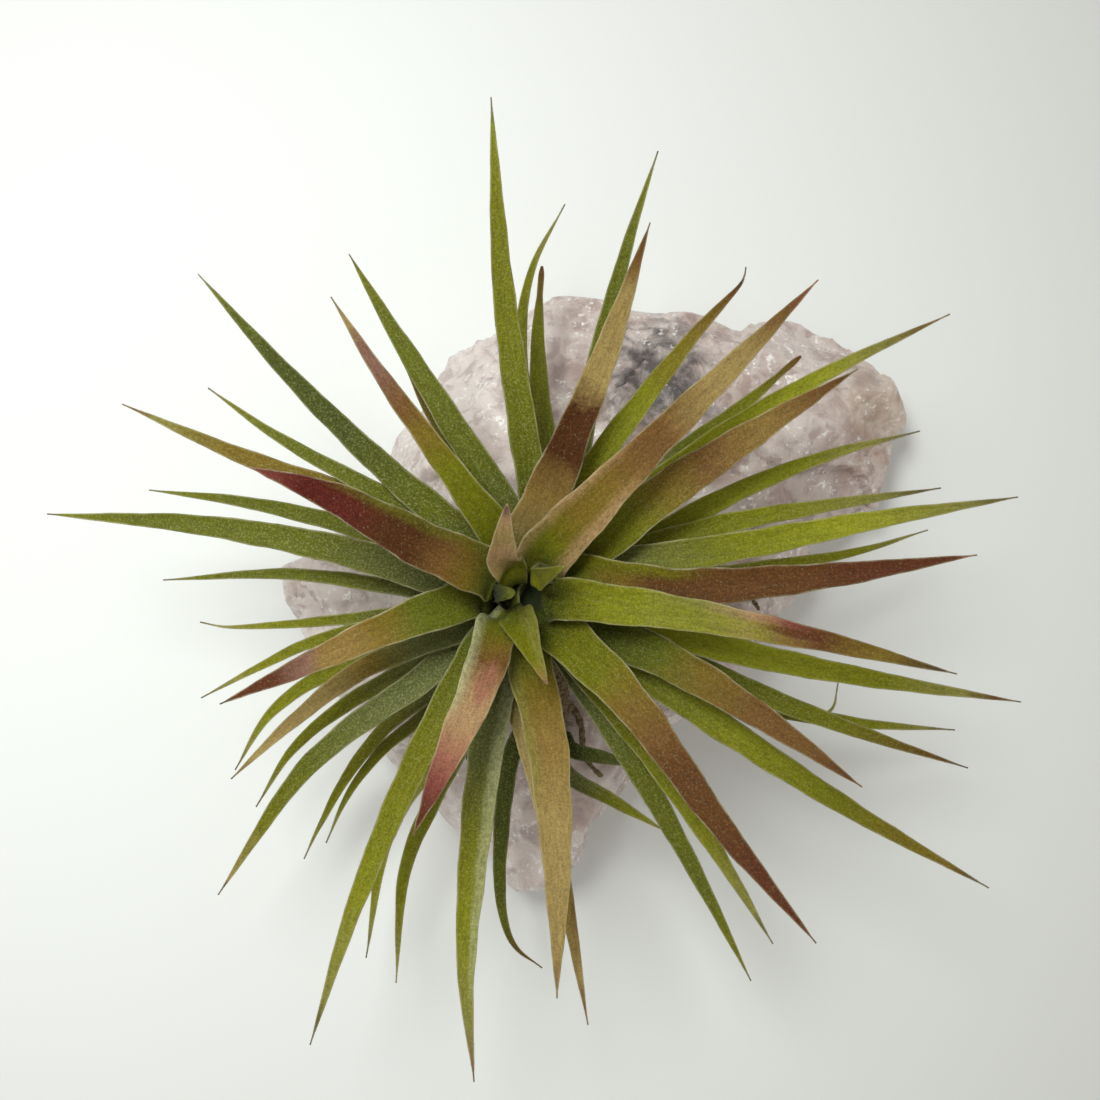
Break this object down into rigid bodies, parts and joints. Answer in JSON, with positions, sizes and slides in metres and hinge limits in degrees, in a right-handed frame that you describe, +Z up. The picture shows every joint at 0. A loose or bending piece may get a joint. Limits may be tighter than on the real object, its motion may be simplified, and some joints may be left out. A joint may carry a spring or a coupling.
{
  "type": "air plant",
  "caption": "Silvery air plant with long channelled leaves, green to tan, brown and rose, resting on a rough lump of rose quartz.",
  "frame": {"origin": "middle of the whole plant's box, at the flat spot under the stone", "axes": "+Z up, +X to the right and +Y away as the picture sees the plant from above"},
  "size_m": [0.0966, 0.0948, 0.06],
  "materials": {
    "leaf_green": "matte",
    "leaf_bright_green": "matte",
    "leaf_tan": "matte",
    "leaf_brown": "matte",
    "leaf_rose": "matte",
    "stem_bark": "matte",
    "rose_quartz": "satin"
  },
  "bodies": {
    "root": {"rose_quartz": "rose_quartz", "stem": "stem_bark", "old_leaf_southeast_lower": "leaf_green", "old_leaf_southeast_upper": "leaf_green", "old_leaf_south_hooked": "leaf_green", "low_leaf_southwest_first": "leaf_green", "low_leaf_southwest_second": "leaf_green", "low_leaf_south_southwest": "leaf_green", "low_leaf_east_southeast": "leaf_green", "low_leaf_east_curled": "leaf_green", "low_leaf_east": "leaf_green", "low_leaf_west": "leaf_green", "low_leaf_west_southwest_first": "leaf_green", "low_leaf_west_southwest_second": "leaf_green", "low_leaf_west_southwest_third": "leaf_green", "low_leaf_north": "leaf_green", "low_leaf_north_blunt": "leaf_green", "low_leaf_northeast_blunt": "leaf_green", "low_leaf_northwest_blunt": "leaf_green", "low_leaf_south": "leaf_green", "outer_leaf_east_southeast_low": "leaf_green", "outer_leaf_east_northeast": "leaf_green", "outer_leaf_west_thin": "leaf_green", "outer_leaf_west_northwest_thin": "leaf_green", "outer_leaf_southwest_long": "leaf_green", "outer_leaf_southwest_tan": "leaf_tan", "outer_leaf_northwest_olive": "leaf_green", "outer_leaf_northwest_thin": "leaf_green", "outer_leaf_east_thin": "leaf_green", "outer_leaf_south_southeast_olive": "leaf_green", "outer_leaf_north_northeast": "leaf_green", "outer_leaf_east_southeast_long": "leaf_bright_green", "outer_leaf_west_long": "leaf_green", "outer_leaf_north_northwest": "leaf_green", "outer_leaf_northwest_long": "leaf_green", "outer_leaf_northeast_long": "leaf_bright_green", "outer_leaf_south_southeast_bright": "leaf_bright_green", "outer_leaf_south_tan": "leaf_tan", "outer_leaf_east_long": "leaf_green", "outer_leaf_south_long": "leaf_bright_green", "outer_leaf_north_long": "leaf_bright_green", "outer_leaf_northeast_bright": "leaf_bright_green", "outer_leaf_southeast_long": "leaf_bright_green", "outer_leaf_south_southwest_long": "leaf_bright_green", "inner_leaf_west_southwest": "leaf_tan", "inner_leaf_southeast_tan": "leaf_tan", "inner_leaf_northeast_brown": "leaf_brown", "inner_leaf_northwest_brown": "leaf_brown", "inner_leaf_north_brown": "leaf_brown", "inner_leaf_south_tan": "leaf_tan", "inner_leaf_east_brown": "leaf_brown", "inner_leaf_southeast_red": "leaf_brown", "inner_leaf_northeast_orange": "leaf_tan", "inner_leaf_east_green": "leaf_bright_green", "inner_leaf_southwest_rose": "leaf_rose", "inner_leaf_west_red": "leaf_rose", "heart_leaf_east": "leaf_bright_green", "heart_leaf_south": "leaf_bright_green", "heart_leaf_north": "leaf_tan", "heart_bud": "leaf_bright_green"}
  },
  "joints": []
}
